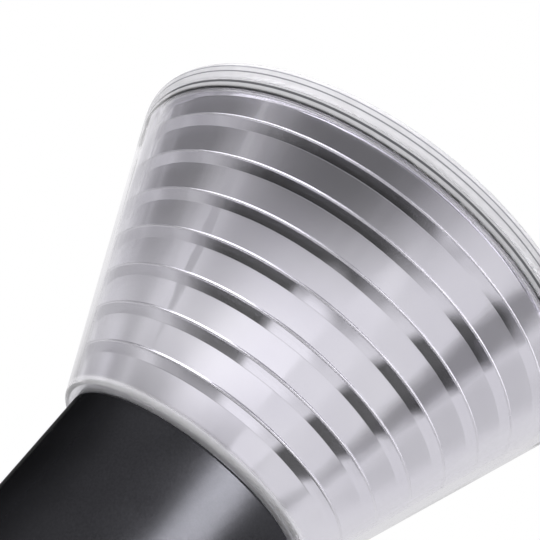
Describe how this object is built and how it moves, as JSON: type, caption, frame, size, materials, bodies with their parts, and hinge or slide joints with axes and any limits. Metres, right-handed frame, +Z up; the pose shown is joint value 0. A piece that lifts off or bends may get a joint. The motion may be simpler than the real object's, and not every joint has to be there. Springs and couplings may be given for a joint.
{
  "type": "underwater pond light",
  "caption": "Submersible spot lamp with a flared clear shade over a ribbed silver reflector, tilting in a yoke that pans on a round base.",
  "frame": {"origin": "centre of the base's underside, on the surface that the lamp stands on", "axes": "+Z up, square to the base; at rest the lamp shines towards +X and up at 43.4 degrees; the tilt pivot lies along Y, and the XZ plane halves the lamp"},
  "size_m": [0.1745, 0.116, 0.2046],
  "materials": {
    "base_black": "cast, with a satin black textured powder coat",
    "yoke_black": "satin black powder coat on bent steel",
    "pad_rubber": "matt black rubber",
    "stainless": "plain stainless",
    "friction_plastic": "natural acetal",
    "knob_plastic": "fine grained black plastic",
    "body_black": "satin black anodised aluminium",
    "clear_shade": "clear polycarbonate with a polished surface",
    "front_glass": "clear float glass",
    "seal_rubber": "matt black silicone rubber",
    "clear_silicone": "translucent silicone rubber",
    "reflector_silver": "spun aluminium, polished and bright dipped",
    "ring_black": "matt black plastic",
    "board_white": "white solder mask on aluminium",
    "emitter_yellow": "phosphor coated emitter",
    "dome_clear": "clear silicone dome",
    "sink_alu": "machined aluminium",
    "lead_red": "red wire insulation",
    "lead_black": "black wire insulation",
    "cradle_plastic": "natural white plastic",
    "board_green": "green solder mask on fibreglass",
    "capacitor_sleeve": "dark shrink sleeve",
    "choke_ferrite": "ferrite core",
    "chip_black": "moulded black package",
    "terminal_green": "moulded terminal block"
  },
  "bodies": {
    "base": {"base_plate": "base_black", "base_pad": "pad_rubber", "swivel_disc": "friction_plastic", "pan_washer": "stainless", "pan_bolt": "stainless", "pan_nut": "stainless"},
    "yoke": {"yoke": "yoke_black", "tilt_washer_inner_left": "stainless", "tilt_washer_outer_left": "stainless", "tilt_washer_inner_right": "stainless", "tilt_washer_outer_right": "stainless"},
    "knob_left": {"tilt_knob_left": "knob_plastic", "tilt_stud_left": "stainless"},
    "knob_right": {"tilt_knob_right": "knob_plastic", "tilt_stud_right": "stainless"},
    "head": {"collar_screw": "stainless", "collar_nut": "stainless", "board_screws": "stainless", "cap_screws": "stainless", "gland_nut": "knob_plastic", "gland_body": "knob_plastic", "gland_locknut": "knob_plastic", "housing_tube": "body_black", "rear_cap": "body_black", "mounting_collar": "body_black", "flared_shade": "clear_shade", "rim_ring": "clear_shade", "front_glass": "front_glass", "front_gasket": "clear_silicone", "throat_seal": "clear_silicone", "rear_o_ring": "seal_rubber", "gland_seal": "seal_rubber", "gland_washer": "seal_rubber", "reflector": "reflector_silver", "retaining_ring": "ring_black", "led_board": "board_white", "led_emitters": "emitter_yellow", "led_domes": "dome_clear", "heat_sink": "sink_alu", "positive_lead": "lead_red", "negative_lead": "lead_black", "driver_cradle": "cradle_plastic", "driver_board": "board_green", "driver_capacitor": "capacitor_sleeve", "driver_choke": "choke_ferrite", "driver_chip": "chip_black", "driver_terminal": "terminal_green"}
  },
  "joints": [
    {"name": "pan", "type": "hinge", "parent": "base", "child": "yoke", "pos_m": [0, 0, 0.0115], "axis": [0, 0, 1], "range_deg": [-180, 180]},
    {"name": "tilt", "type": "hinge", "parent": "yoke", "child": "head", "pos_m": [0, 0, 0.0905], "axis": [0, -1, 0], "range_deg": [-50, 45]},
    {"name": "knob_left_turn", "type": "hinge", "parent": "head", "child": "knob_left", "pos_m": [0, 0.043, 0.0905], "axis": [0, 1, 0], "range_deg": [0, 360]},
    {"name": "knob_right_turn", "type": "hinge", "parent": "head", "child": "knob_right", "pos_m": [0, -0.043, 0.0905], "axis": [0, -1, 0], "range_deg": [0, 360]}
  ]
}
